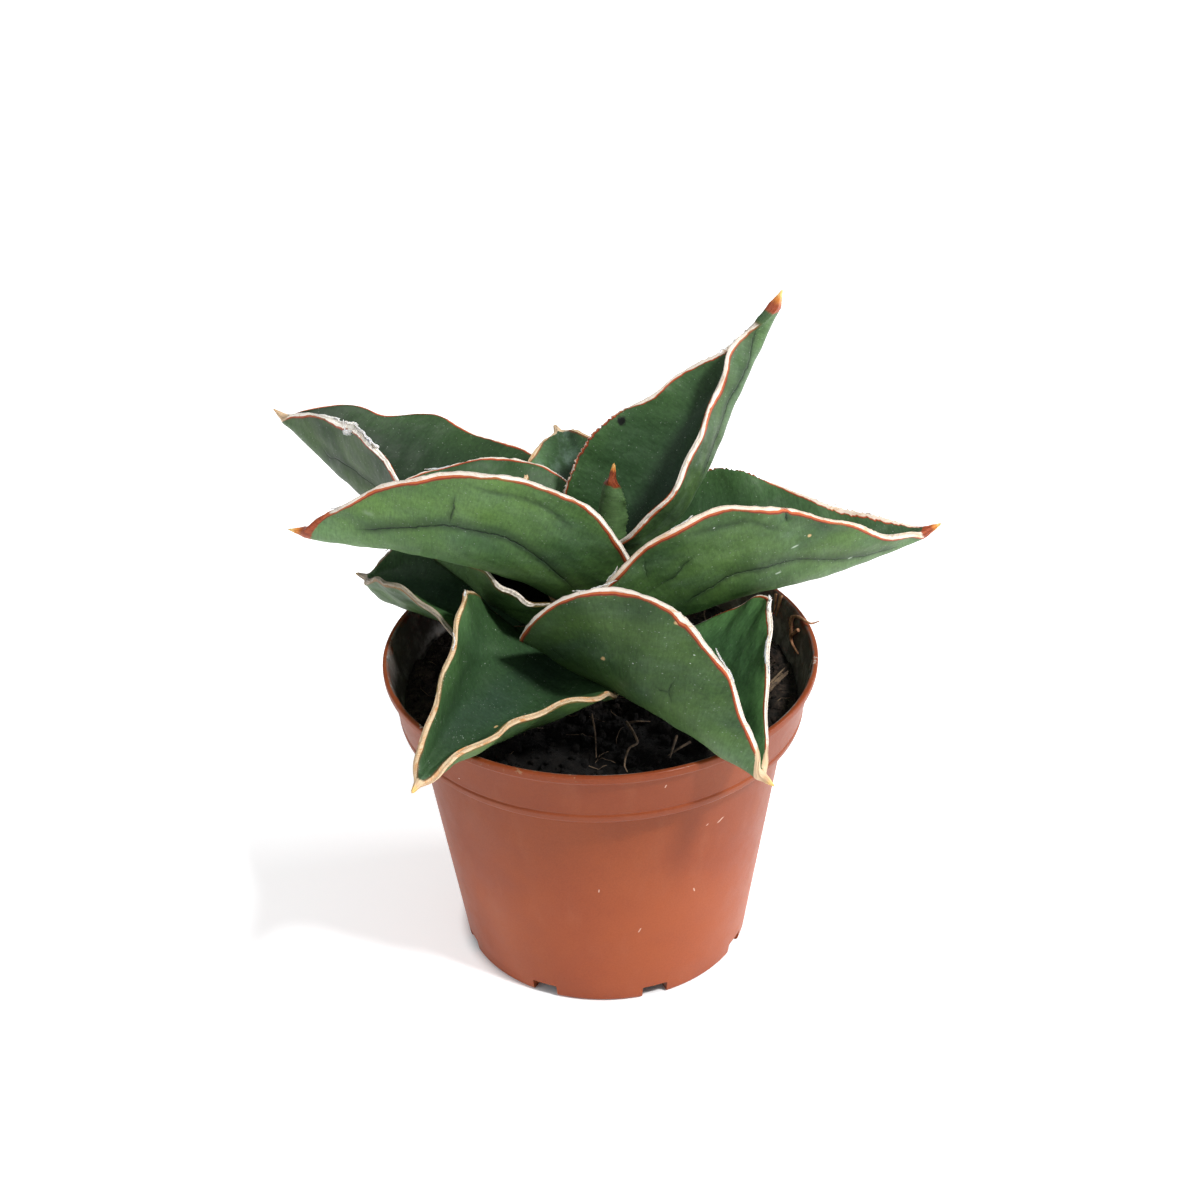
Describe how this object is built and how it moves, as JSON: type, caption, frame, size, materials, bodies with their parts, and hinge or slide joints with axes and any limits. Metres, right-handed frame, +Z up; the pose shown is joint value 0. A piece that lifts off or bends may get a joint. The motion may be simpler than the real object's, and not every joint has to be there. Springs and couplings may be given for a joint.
{
  "type": "potted samurai snake plant",
  "caption": "Young dwarf snake plant: thick, folded, spine-tipped leaves with pale papery margins in a loose rosette, in a tapered round nursery pot filled with peat.",
  "frame": {"origin": "centre of the pot's flat underside, on the surface that the pot stands on", "axes": "+Z up, -Y towards the picture's viewer, +X to the right in the picture"},
  "size_m": [0.1329, 0.1152, 0.1283],
  "materials": {
    "pot": "moulded terracotta-coloured polypropylene, satin, lightly dusty",
    "soil": "moist fibrous peat with fine tan roots, matte",
    "stem": "short fleshy stem, matte",
    "leaf": "waxy green skin with papery white margins and red-brown spines, satin"
  },
  "bodies": {
    "root": {"pot": "pot", "soil": "soil", "stem": "stem", "leaf_front_right": "leaf", "leaf_right_front": "leaf", "leaf_left_front": "leaf", "leaf_left_under": "leaf", "leaf_front_left": "leaf", "leaf_heart": "leaf", "leaf_upright": "leaf", "leaf_left_back": "leaf", "leaf_left_low": "leaf", "leaf_back": "leaf"}
  },
  "joints": []
}
